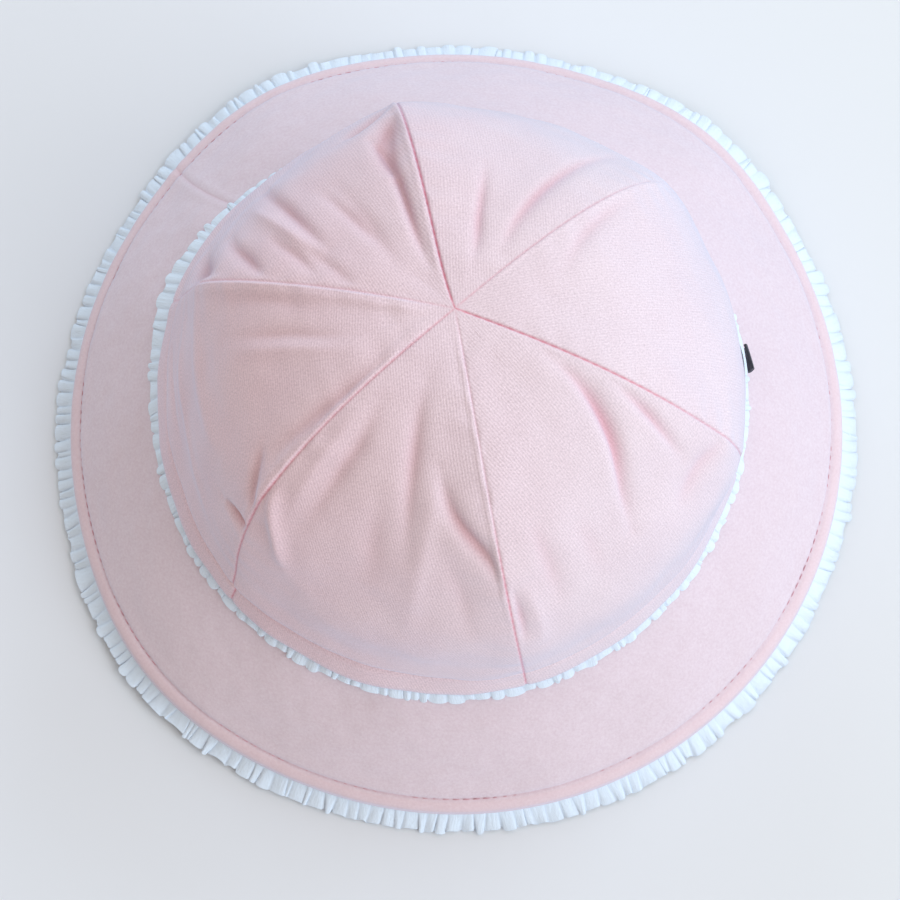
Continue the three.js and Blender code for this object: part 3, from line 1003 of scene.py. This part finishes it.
@dataclass
class Crown:
    """Six gores sewn edge to edge."""

    shape: CrownShape
    standing: Standing
    finish: CottonTwill
    cloth: float = 1.0
    flat: tuple[float, float] = (0.080, 0.121)
    columns: int = 150
    rows: int = 210
    crowding: float = 0.6
    tip: float = 0.00002
    line_steps: int = 2000
    seam_roll: float = 0.32
    roll_start: float = 4.0
    seam_puff: float = 0.25
    puff_reach: float = 4.0
    puff_start: float = 2.0
    puff_full: float = 14.0
    ridge_slope: float = 0.32
    ridge_rise: float = 0.5
    ridge_fall: float = 0.8
    ridge_end: float = 64.0
    ridge_fade: float = 14.0
    ridge_sewn_down: float = 0.8
    corner_spread: float = 8.0
    pucker: float = 0.25
    pucker_length: float = 7.0
    pucker_reach: float = 5.0
    pucker_clear: float = 1.2
    pucker_sides: float = 40.0
    pucker_seed: float = 5.0
    seam_hold: float = 2.0
    foot_hold: float = 0.1
    seam_line: float = 0.26
    seam_stitch: float = 2.4
    stitch_show: float = 0.2
    wall_start: float = 0.35
    wall_full: float = 0.6
    fold_shade_tint: float = 0.5
    pink_fold_shade_tint: float = 0.42
    fold_shade_full: float = 1.7
    fold_shade_narrowing: float = 1.5
    unevenness: Ripple = Ripple(0.35, 26.0, 1.0, 8.0)
    slub: Ripple = Ripple(0.07, 9.0, 21.0, 4.0)
    foot_tuck: float = 0.5
    tuck_height: float = 0.8
    foot_drop: float = 0.9
    drop_height: float = 1.2

    def build(self) -> list[bpy.types.Object]:
        """Cut, shape and dress the six gores.

        Returns:
            The gores, anticlockwise from the right.
        """
        material = self.finish.material()
        return [self.gore(panel, cut, material) for panel, cut in enumerate(PANELS)]

    def row_places(self, panel: int) -> tuple[Array, Array]:
        """Space the rows evenly along a panel's middle line.

        Args:
            panel: The panel's number.

        Returns:
            The share of the way down at each row from foot to tip, and the distance from the tip.
        """
        down = np.linspace(self.tip, 1, self.line_steps)
        line = self.shape.surface(panel, np.full_like(down, 0.5), down)
        distance = np.concatenate([[0], np.cumsum(np.linalg.norm(np.diff(line, axis=0), axis=1))])
        even = np.linspace(distance[-1], 0, self.rows + 1)
        return np.interp(even, distance, down), even

    def places(self, panel: int, grid: ClothGrid) -> GorePlaces:
        """Spread a grid over one panel, its columns closer together towards the seams.

        Args:
            panel: The panel's number.
            grid: The flat grid.

        Returns:
            Where the grid's corners lie.
        """
        row_down, row_distance = self.row_places(panel)
        row = np.rint(grid.up * self.rows).astype(int)
        down = row_down[row]
        distance = row_distance[row]
        crowded = 0.5 - 0.5 * np.cos(np.pi * grid.along)
        across = (1 - self.crowding) * grid.along + self.crowding * crowded
        first, second = (self.shape.surface(panel, np.full_like(down, end), down) for end in (0.0, 1.0))
        width = np.linalg.norm(second - first, axis=1)
        return GorePlaces(panel, across, down, distance, to_foot=row_distance[0] - distance,
                          to_seam=np.minimum(across, 1 - across) * width, sideways=(across - 0.5) * width,
                          smooth=self.shape.surface(panel, across, down))

    def gore(self, panel: int, cut: PanelCut, material: bpy.types.Material) -> bpy.types.Object:
        """Make one gore.

        Args:
            panel: The panel's number.
            cut: Its folds and ribs.
            material: The twill.

        Returns:
            The finished gore.
        """
        grid = ClothGrid(cut.node + "_cloth", self.columns, self.rows)
        at = self.places(panel, grid)
        folds = self.fold_lift(at, cut.folds)
        lift = folds + self.seam_lift(at)
        lift += self.corner_lift(at)
        for ripple in (self.unevenness, self.slub):
            lift += ripple.lift(at.sideways, at.distance, panel) * ease(at.to_seam, 0, ripple.clear)
        lift -= self.foot_tuck * bell(at.to_foot / self.tuck_height)
        points = at.smooth + lift[:, None] * self.shape.outward(panel, at.across, at.down)
        points[:, 2] -= self.foot_drop * bell(at.to_foot / self.drop_height)
        lean = math.radians(cut.rib_lean)
        weave = np.stack([at.sideways * math.cos(lean) - at.distance * math.sin(lean),
                          at.sideways * math.sin(lean) + at.distance * math.cos(lean)], axis=1)
        # painted shade in the fold valleys, deeper where a fold sinks further: deep pink on the right-hand
        # gores, brownish on the others
        valley = np.clip(-folds / self.fold_shade_full, 0, 1) ** self.fold_shade_narrowing
        grid.mark("seam", np.maximum(self.seam_tint(at), self.pink_fold_shade_tint * cut.pink_fold_shade * valley))
        grid.mark("fold", self.fold_shade_tint * (1 - cut.pink_fold_shade) * valley)
        piece = grid.lay(self.standing.metres(points), weave, material, self.cloth)
        hand_over(piece, (cut.node,))
        return piece

    def fold_lift(self, at: GorePlaces, folds: tuple[Fold, ...]) -> Array:
        """Height that the folds give, held down at the seams and the foot.

        Args:
            at: The gore's corners.
            folds: The gore's folds.

        Returns:
            Heights above the smooth crown.
        """
        sink = sum(fold.sink(*fold.run(self.shape, at.panel), at.smooth) for fold in folds)
        return -sink * ease(at.to_seam, 0, self.seam_hold) * (1 - bell((1 - at.down) / self.foot_hold))

    def seam_lift(self, at: GorePlaces) -> Array:
        """Height of the cloth where it rolls into its seams, puffs beside them and puckers.

        Args:
            at: The gore's corners.

        Returns:
            Heights above the smooth crown.
        """
        first, second = self.shape.seam(at.panel), self.shape.seam(at.panel + 1)
        dip = at.nearer(first.dip, second.dip)
        wide = at.nearer(first.ridge_width * (first.ridge is Ridge.AFTER),
                         second.ridge_width * (second.ridge is Ridge.BEFORE))
        roll = -dip * bell(at.to_seam / self.seam_roll) * ease(at.distance, 0, self.roll_start)
        step = at.to_seam / np.maximum(wide, self.seam_roll)
        edge = ease(step, 0, self.ridge_rise) * bell(np.maximum(step - 1, 0) / self.ridge_fall)
        sewn_down = ease(at.distance, self.ridge_end, self.ridge_end + self.ridge_fade)
        ridge = self.ridge_slope * wide * edge * (1 - self.ridge_sewn_down * sewn_down)
        puff = self.seam_puff * (at.to_seam / self.puff_reach) * np.exp(1 - at.to_seam / self.puff_reach)
        run = at.distance + at.nearer(0.0, self.pucker_sides)
        pucker = crinkle(run, np.zeros_like(run), self.pucker_length, 2.0 * at.panel + self.pucker_seed)
        near = np.exp(-at.to_seam / self.pucker_reach) * ease(at.to_seam, 0, self.pucker_clear)
        puffed = ease(at.distance, self.puff_start, self.puff_full)
        return roll + (ridge + puff + self.pucker * pucker * near) * puffed

    def corner_lift(self, at: GorePlaces) -> Array:
        """Height of the cloth at the corners where the seams turn over the shoulder.

        Args:
            at: The gore's corners.

        Returns:
            Heights above the smooth crown.
        """
        lift = np.zeros(len(at.smooth))
        for edge in (0, 1):
            seam = self.shape.seam(at.panel + edge)
            corner = self.shape.surface(at.panel, np.array([float(edge)]), np.array([seam.corner]))
            away = np.linalg.norm(at.smooth - corner, axis=1)
            lift += seam.corner_out * np.exp(-away / self.corner_spread)
        return lift

    def seam_tint(self, at: GorePlaces) -> Array:
        """How much deep pink shows at each place.

        Args:
            at: The gore's corners.

        Returns:
            Shares from 0 to 1.
        """
        # the deep pink is partly the seams' own thread and partly painted light bounced between the pink
        # cloth inside them
        wall = ease(at.down, self.wall_start, self.wall_full)
        tints = [seam.tint + (seam.foot_tint - seam.tint) * wall
                 for seam in (self.shape.seam(at.panel), self.shape.seam(at.panel + 1))]
        pull = np.cos(2 * np.pi * at.distance / self.seam_stitch)
        stitches = 1 - self.stitch_show + self.stitch_show * pull
        return at.nearer(*tints) * stitches * bell(at.to_seam / self.seam_line)


# Brim


@dataclass(frozen=True)
class BrimWave:
    """A place where the brim edge swings out and lifts off the table."""

    turn: float
    half_spread: float
    reach: float
    lift: float


@dataclass
class Brim:
    """One wide drooping ring of two-layer cloth, closed by a single seam."""

    crown: CrownShape
    standing: Standing
    finish: BrushedCotton
    thread: SewingThread
    half_width: float = 100.5
    half_length: float = 101.9
    shift: float = 1.4
    top_z: float = 30.4
    edge_z: float = 5.0
    bow: float = 2.0
    cloth: float = 2.0
    crown_cloth: float = 1.5
    flat: tuple[float, float] = (0.205, 0.212)
    columns: int = 720
    rows: int = 60
    crowding: float = 0.24
    crown_tuck: float = 0.5
    tuck_width: float = 0.8
    seam_turn: float = 137.0
    seam_bend: float = 1.3
    seam_dip: float = 0.1
    seam_roll: float = 0.35
    seam_tint: float = 0.15
    seam_line: float = 0.25
    seam_puff: float = 0.15
    puff_away: float = 2.0
    puff_width: float = 1.2
    welt: float = 5.6
    welt_puff: float = 0.6
    welt_fullness: float = 0.8
    welt_light_tint: float = 0.28
    edge_roll: float = 1.0
    roll_width: float = 1.5
    stitch: float = 2.6
    stitch_gap: float = 0.6
    stitch_half_width: float = 0.14
    stitch_sunk: float = 0.7
    stitch_thread_and_shade_tint: float = 0.35
    stitch_dip: float = 0.42
    stitch_groove: float = 0.45
    stitch_pull: float = 0.25
    beside_puff: float = 0.15
    beside_away: float = 2.0
    beside_width: float = 1.5
    unevenness: Ripple = Ripple(0.35, 34.0, 2.0, 9.0, 2.0, 10.0)
    slub: Ripple = Ripple(0.08, 8.0, 12.0, 4.0, 0.0, 3.0)
    waves: tuple[BrimWave, ...] = (
        BrimWave(50.0, 16.0, 2.2, 2.0),
        BrimWave(121.0, 17.0, 2.2, 2.5),
        BrimWave(221.0, 20.0, 2.4, 2.0),
    )

    def wave(self, turn: Array, column: str) -> Array:
        """Sum of one column of the brim's waves at a turn."""
        return sum(getattr(wave, column) * turn_bell(turn, wave.turn, wave.half_spread)
                   for wave in self.waves)

    def slope(self, turn: Array, out: Array) -> tuple[Array, Array, Array, Array]:
        """The brim's upper face in its own slope.

        Args:
            turn: Turn round the crown.
            out: Share of the way from the crown to the edge.

        Returns:
            Distance from the axis, height, downhill angle in radians and the brim's reach.
        """
        inner = self.crown.foot_radius(turn, self.crown_cloth)
        reach = oval_radius(turn, self.half_width, self.half_length) + self.wave(turn, "reach") - inner
        fall = self.top_z - self.edge_z - self.wave(turn, "lift")
        z = self.top_z - fall * out + self.bow * np.sin(np.pi * out)
        steepness = np.arctan2(fall - self.bow * np.pi * np.cos(np.pi * out), reach)
        return inner + reach * out, z, steepness, reach

    def place(self, turn: Array, out: Array, lift: Array) -> Array:
        """Points of the brim above or below its upper face.

        Args:
            turn: Turn round the crown.
            out: Share of the way from the crown to the edge.
            lift: Height over the upper face.

        Returns:
            Points in millimetres about the crown's axis.
        """
        radius, z, steepness, _ = self.slope(turn, out)
        away = radius + lift * np.sin(steepness)
        return polar(turn, away, z + lift * np.cos(steepness), self.shift * out)

    def build(self) -> list[bpy.types.Object]:
        """Make the brim and its row of stitches.

        Returns:
            The brim and the stitching.
        """
        brim = self.build_ring()
        stitching = self.build_stitching()
        return [brim, stitching]

    def build_ring(self) -> bpy.types.Object:
        """Bend the strip of cloth round the crown.

        Returns:
            The dressed brim.
        """
        grid = ClothGrid("brim_cloth", self.columns, self.rows)
        even = 1 - grid.up
        out = even + self.crowding * np.sin(np.pi * even) * even
        turn = self.seam_turn + self.seam_bend * np.sin(np.pi * out) + 360 * grid.along
        _, _, steepness, reach = self.slope(turn, np.ones_like(turn))
        slope_width = reach / np.cos(steepness)
        to_edge = (1 - out) * slope_width
        from_crown = out * slope_width
        girth = 2 * math.pi * grid.along * self.half_width
        to_seam = np.minimum(grid.along, 1 - grid.along) * 2 * math.pi * self.half_width
        lift = self.edge_lift(to_edge, girth)
        lift += self.seam_puff * bell((to_seam - self.puff_away) / self.puff_width)
        lift -= self.seam_dip * bell(to_seam / self.seam_roll)
        lift -= self.crown_tuck * bell(from_crown / self.tuck_width)
        for ripple in (self.unevenness, self.slub):
            still = ease(to_edge, ripple.edge_start, ripple.edge_clear) * ease(to_seam, 0, ripple.clear)
            lift += ripple.lift(girth, from_crown) * still
        # the stitch line is partly the thread's own colour and partly painted shade in the groove that the
        # stitches pull
        stitch_line = self.stitch_thread_and_shade_tint * bell((to_edge - self.welt) / self.seam_line)
        grid.mark("seam", np.maximum(stitch_line, self.seam_tint * bell(to_seam / self.seam_line)))
        # painted light: the welt is tinted a warmer pink for the warm bounced light it catches
        grid.mark("welt", self.welt_light_tint * ease(self.welt - to_edge, 0, 1))
        points = self.standing.metres(self.place(turn, out, lift))
        weave = np.stack([girth, from_crown], axis=1)
        piece = grid.lay(points, weave, self.finish.material(), self.cloth)
        hand_over(piece, ("brim",))
        return piece

    def edge_lift(self, to_edge: Array, girth: Array) -> Array:
        """Height of the puffed welt and of the groove that the stitches pull.

        Args:
            to_edge: Distance from the edge.
            girth: Distance round the brim.

        Returns:
            Heights over the plain brim.
        """
        share = np.clip(to_edge / self.welt, 0, 1)
        puff = self.welt_puff * np.sin(np.pi * share) ** self.welt_fullness
        pull = 1 - self.stitch_pull + self.stitch_pull * np.cos(2 * np.pi * girth / self.stitch)
        groove = self.stitch_dip * bell((to_edge - self.welt) / self.stitch_groove) * pull
        roll = self.edge_roll * bell(to_edge / self.roll_width)
        beside = self.beside_puff * bell((to_edge - self.welt - self.beside_away) / self.beside_width)
        return puff - groove - roll + beside

    def build_stitching(self) -> bpy.types.Object:
        """Sew the row of stitches inside the edge.

        Returns:
            All stitches as one piece.
        """
        girth = 2 * math.pi * (self.half_width + self.half_length) / 2
        count = round(girth / self.stitch)
        turns = self.seam_turn + 360 * (np.arange(count) + 0.5) / count
        _, _, steepness, reach = self.slope(turns, np.ones(count))
        line = 1 - self.welt * np.cos(steepness) / reach
        sunk = np.full(count, -self.stitch_dip * self.stitch_sunk)
        step_turn, step_up = 0.2, 1.0
        middles = self.standing.metres(self.place(turns, line, sunk))
        aheads = self.standing.metres(self.place(turns + step_turn, line, sunk))
        overs = self.standing.metres(self.place(turns, line, sunk + step_up))
        net = bmesh.new()
        half = (self.stitch - self.stitch_gap) / 2 * MM
        thick = self.stitch_half_width * MM
        for middle, ahead, over in zip(middles, aheads, overs):
            along = Vector(ahead - middle).normalized()
            up = Vector(over - middle).normalized()
            side = up.cross(along)
            axes = Matrix((along * half, side * thick, up * thick)).transposed().to_4x4()
            axes.translation = Vector(middle)
            bmesh.ops.create_uvsphere(net, u_segments=6, v_segments=5, radius=1, matrix=axes)
        mesh = net_mesh(net, "brim_topstitching")
        mesh.shade_smooth()
        piece = set_down("brim_topstitching", mesh, self.thread.material())
        hand_over(piece, ())
        return piece


# Ruffles


@dataclass
class Pleats:
    """Uneven flattened pleats along a gathered strip, with sharp creases between them.

    Attributes:
        count: How many pleats there are.
        columns: Squares along one pleat.
        seed: Picks the chance pleats.
        narrow_share: How many of them are narrow, as a share.
        narrow_width: Least and greatest width of a narrow pleat, in no unit.
        wide_width: The same for the others.
        narrow_height: Least and greatest height of a narrow pleat, as a share of the arch.
        wide_height: The same for the others.
    """

    count: int
    columns: int
    seed: int
    narrow_share: float = 0.12
    narrow_width: tuple[float, float] = (0.45, 0.7)
    wide_width: tuple[float, float] = (0.8, 1.6)
    narrow_height: tuple[float, float] = (0.5, 0.8)
    wide_height: tuple[float, float] = (0.75, 1.1)

    def spread(self, along: Array) -> dict[str, Array]:
        """Find each corner's pleat.

        Args:
            along: Share of the way along the strip.

        Returns:
            The true share along the strip and the pleat's own share of it, the place within the pleat
            from 0 to 1, the pleat's height, tilt and length, and the slant and notch of its creases.
        """
        chance = np.random.default_rng(self.seed)
        narrow = chance.uniform(0, 1, self.count) < self.narrow_share
        widths = np.where(narrow, chance.uniform(*self.narrow_width, self.count),
                          chance.uniform(*self.wide_width, self.count))
        heights = np.where(narrow, chance.uniform(*self.narrow_height, self.count),
                           chance.uniform(*self.wide_height, self.count))
        tilts = chance.uniform(-1, 1, self.count)
        lengths = chance.uniform(-1, 1, self.count)
        slants = chance.uniform(-1, 1, self.count + 1)
        notches = chance.uniform(0, 1, self.count + 1)
        slants[-1] = slants[0]
        notches[-1] = notches[0]
        edges = np.concatenate([[0], np.cumsum(widths)]) / widths.sum()
        column = np.rint(along * self.count * self.columns).astype(int)
        pleat = np.minimum(column // self.columns, self.count - 1)
        within = (column - pleat * self.columns) / self.columns
        pitch = edges[pleat + 1] - edges[pleat]
        return {
            "along": edges[pleat] + within * pitch,
            "pitch": pitch,
            "within": within,
            "height": heights[pleat],
            "tilt": tilts[pleat],
            "length": lengths[pleat],
            "slant": slants[pleat] * (1 - within) + slants[pleat + 1] * within,
            "notch": np.where(within < 0.5, notches[pleat], notches[pleat + 1]),
        }


@dataclass
class Ruffle:
    """A gathered strip of lawn sewn in at its inner edge."""

    brim: Brim
    standing: Standing
    material: bpy.types.Material
    node: str
    pleats: Pleats
    rows: int
    arch: float
    flat: tuple[float, float]
    cloth: float = 0.35
    flatness: float = 0.5
    sunk: float = 0.6
    gathered: float = 0.3
    open_by: float = 0.7
    tilt: float = 1.6
    slant: float = 0.4
    unequal: float = 0.14
    notch: float = 0.25
    crease_shade_tint: float = 0.35
    crease_shade_fade: float = 0.5
    fullness: float = 1.6
    strip_width: float = 10.0

    def build(self) -> bpy.types.Object:
        """Gather, lay and dress the strip.

        Returns:
            The finished ruffle.
        """
        grid = ClothGrid(self.node + "_cloth", self.pleats.count * self.pleats.columns, self.rows)
        pleat = self.pleats.spread(grid.along)
        out = 1 - grid.up
        opened = self.gathered + (1 - self.gathered) * ease(out, 0.0, self.open_by)
        top = np.sin(np.pi * pleat["within"]) ** self.flatness
        facet = self.tilt * pleat["tilt"] * (pleat["within"] - 0.5) * top
        lift = self.arch * pleat["height"] * (top - self.sunk + facet) * opened
        slant = self.slant * pleat["slant"] * out * pleat["pitch"]
        turn = self.brim.seam_turn + 360 * (pleat["along"] + slant)
        notch = self.notch * np.square(pleat["notch"] * (1 - top))
        length = 1 + self.unequal * pleat["length"] * top - notch
        points = self.standing.metres(self.lie(turn, out, lift, length))
        girth = 2 * math.pi * self.brim.half_width * pleat["along"] * self.fullness
        weave = np.stack([girth, out * self.strip_width], axis=1)
        # painted shade in the creases between pleats, fading towards the outer edge
        grid.mark("gather", self.crease_shade_tint * np.square(1 - top) * (1 - self.crease_shade_fade * out))
        piece = grid.lay(points, weave, self.material, self.cloth)
        hand_over(piece, (self.node,))
        return piece

    def lie(self, turn: Array, out: Array, lift: Array, length: Array) -> Array:
        """Place the strip; each ruffle has its own way of lying."""
        raise NotImplementedError


@dataclass
class CrownRuffle(Ruffle):
    """The narrow ruffle caught between crown and brim, fuller at the back left and tucked at the back."""

    flatness: float = 0.6
    unequal: float = 0.12
    notch: float = 0.2
    width: float = 5.0
    start: float = -1.8
    least: float = 0.92
    full_turn: float = 156.0
    full_spread: float = 20.0
    fuller: float = 0.85
    tuck_turn: float = 105.0
    tuck_spread: float = 32.0
    tuck: float = 0.44
    clear: float = 0.6
    root_clear: float = 0.15
    arch_clear: float = 0.5

    def lie(self, turn: Array, out: Array, lift: Array, length: Array) -> Array:
        """Lay the strip down the top of the brim.

        Args:
            turn: Turn round the crown.
            out: Share across the strip.
            lift: Height that the pleats give.
            length: How long each pleat is, about 1.

        Returns:
            Points in millimetres about the crown's axis.
        """
        full = self.fuller * turn_bell(turn, self.full_turn, self.full_spread)
        tuck = self.tuck * turn_bell(turn, self.tuck_turn, self.tuck_spread)
        width = self.width * (self.least + full - tuck)
        away = self.start + width * out * (1 + (length - 1) * out)
        _, _, steepness, reach = self.brim.slope(turn, np.zeros_like(turn))
        share = away * np.cos(steepness) / reach
        clear = self.clear + self.root_clear * (1 - out) + self.arch * self.arch_clear * out
        return self.brim.place(turn, share, clear + lift)


@dataclass
class BrimRuffle(Ruffle):
    """The wider ruffle in the brim edge, falling to the table and lying out along it."""

    reach: float = 5.2
    hidden: float = 0.4
    rest: float = 0.9
    floor: float = 0.4
    drop: float = 1.8

    def lie(self, turn: Array, out: Array, lift: Array, length: Array) -> Array:
        """Let the strip fall from the brim edge and lie out.

        Args:
            turn: Turn round the crown.
            out: Share across the strip.
            lift: Height that the pleats give.
            length: How long each pleat is, about 1.

        Returns:
            Points in millimetres about the crown's axis.
        """
        radius, z, steepness, _ = self.brim.slope(turn, np.ones_like(turn))
        half = self.brim.cloth / 2 + self.brim.edge_roll
        seam_radius = radius - half * np.sin(steepness) - self.hidden * np.cos(steepness)
        seam_z = z - half * np.cos(steepness) + self.hidden * np.sin(steepness)
        rest = self.rest + self.brim.wave(turn, "lift")
        fallen = rest + (seam_z - rest) * (1 - out) ** self.drop
        spread = seam_radius + self.reach * out * (1 + (length - 1) * out)
        return polar(turn, spread, np.maximum(fallen + lift, self.floor), self.brim.shift)


# Small trim


@dataclass
class SideLabel:
    """A plain folded tape sewn in at the foot of the right panel and standing up beside the wall."""

    crown: CrownShape
    standing: Standing
    finish: WovenTape
    columns: int = 18
    rows: int = 20
    turn: float = 6.8
    width: float = 6.2
    foot: float = 0.6
    height: float = 4.5
    clear: float = 0.9
    lean: float = 0.08
    swing: float = 1.1
    tape: float = 0.6
    bulge: float = 0.25
    fold: float = 0.3
    fold_share: float = 0.08
    flat: tuple[float, float] = (0.010, 0.010)

    def build(self) -> bpy.types.Object:
        """Fold the tape and stand it beside the wall.

        Returns:
            The finished label.
        """
        grid = ClothGrid("side_label_tape", self.columns, self.rows)
        half_turn = math.degrees(self.width / 2 / self.crown.half_width)
        turn = self.turn + (2 * grid.along - 1) * half_turn
        foot_down = self.crown.down_at(np.full_like(turn, self.foot))
        start = self.crown.seam_turn(0, foot_down)
        across = (turn - start) / (self.crown.seam_turn(1, foot_down) - start)
        wall = self.crown.surface(0, across, foot_down)
        rise = self.height * grid.up
        bulge = self.bulge * np.sin(np.pi * grid.up) - self.fold * bell((1 - grid.up) / self.fold_share)
        swing = self.swing * (1 - grid.along) * grid.up
        stand = self.clear + self.tape + swing - self.lean * rise + bulge
        points = self.standing.metres(wall + polar(turn, stand, rise))
        weave = np.stack([grid.along * self.width, rise], axis=1)
        piece = grid.lay(points, weave, self.finish.material(), self.tape)
        hand_over(piece, ("side_label",))
        return piece


# Studio


@dataclass(frozen=True)
class Lamp:
    """A soft square lamp that points at the hat: its place and side in metres, and its power in watts."""

    name: str
    place: tuple[float, float, float]
    side: float
    power: float
    colour: str


@dataclass
class Studio:
    """Table, lamps, room light and camera."""

    standing: Standing
    table: PaintedTable
    table_side: float = 4.0
    elevation: float = 76.0
    distance: float = 700.0
    aim: tuple[float, float, float] = (-0.37, -16.04, 40.0)
    pixels_per_unit: float = 2853.0
    picture: float = 900.0
    sensor: float = 36.0
    nearest: float = 0.01
    room_colour: str = "#fff2e7"
    room_strength: float = 0.56
    lamp_aim: tuple[float, float, float] = (0.0, 0.0, 0.05)
    lamps: tuple[Lamp, ...] = (
        Lamp("side_window", (1.5, 0.7, 1.3), 1.1, 5.4, "#def3ff"),
        Lamp("front_window", (1.2, -0.6, 1.5), 1.2, 12.8, "#f3f6f9"),
        Lamp("back_window", (1.0, 1.4, 1.1), 1.1, 14.2, "#d3e8fd"),
        Lamp("low_front_window", (1.3, -1.2, 0.6), 1.2, 13.7, "#d2e5f8"),
        Lamp("far_window", (-0.9, 1.5, 0.9), 1.2, 10.6, "#d6edff"),
    )

    def build(self) -> None:
        """Set the whole studio up."""
        self.build_table()
        self.build_light()
        self.build_camera()

    def build_table(self) -> None:
        """Lay the table top under the hat."""
        net = bmesh.new()
        bmesh.ops.create_grid(net, x_segments=2, y_segments=2, size=self.table_side / 2)
        set_down("table_top", net_mesh(net, "table_top"), self.table.material())

    def build_light(self) -> None:
        """Hang the lamps and light the room."""
        for lamp in self.lamps:
            light = bpy.data.lights.new(lamp.name, "AREA")
            light.shape = "SQUARE"
            light.size = lamp.side
            light.energy = lamp.power
            light.color = linear(lamp.colour)[:3]
            holder = bpy.data.objects.new(lamp.name, light)
            holder.location = lamp.place
            ray = Vector(self.lamp_aim) - Vector(lamp.place)
            holder.rotation_euler = ray.to_track_quat("-Z", "Y").to_euler()
            bpy.context.scene.collection.objects.link(holder)
        world = bpy.data.worlds.new("room")
        world.use_nodes = True
        room = world.node_tree.nodes["Background"]
        room.inputs["Color"].default_value = linear(self.room_colour)
        room.inputs["Strength"].default_value = self.room_strength
        bpy.context.scene.world = world
        bpy.context.scene.view_settings.view_transform = "Standard"

    def build_camera(self) -> None:
        """Stand the camera where the photograph was taken from."""
        tilt = math.radians(90 - self.elevation)
        aim = self.standing.metres(np.array([self.aim]))[0]
        lens = bpy.data.cameras.new("camera")
        lens.sensor_width = self.sensor
        lens.lens = self.pixels_per_unit / self.picture * self.sensor
        lens.clip_start = self.nearest
        holder = bpy.data.objects.new("camera", lens)
        ray = Vector((0, math.sin(tilt), -math.cos(tilt)))
        holder.location = Vector(aim) - ray * self.distance * MM
        holder.rotation_euler = (tilt, 0, 0)
        bpy.context.scene.collection.objects.link(holder)
        bpy.context.scene.camera = holder


def main() -> None:
    """Build the hat from the crown out, then the studio."""
    logging.basicConfig(level=logging.INFO, format="%(name)s: %(message)s")
    shape = CrownShape()
    standing = Standing.from_frame(Brim.shift)
    brim = Brim(shape, standing, BrushedCotton(), SewingThread("pink_sewing_thread", "#d49ca8"))
    Crown(shape, standing, CottonTwill()).build()
    brim.build()
    lawn = RuffleLawn().material()
    CrownRuffle(brim, standing, lawn, "crown_ruffle", Pleats(count=150, columns=12, seed=4), rows=8,
                arch=0.45, flat=(0.010, 0.53)).build()
    BrimRuffle(brim, standing, lawn, "brim_ruffle", Pleats(count=212, columns=11, seed=9), rows=14,
               arch=0.55, flat=(0.010, 0.9)).build()
    SideLabel(shape, standing, WovenTape()).build()
    Studio(standing, PaintedTable()).build()


if __name__ == "__main__":
    main()
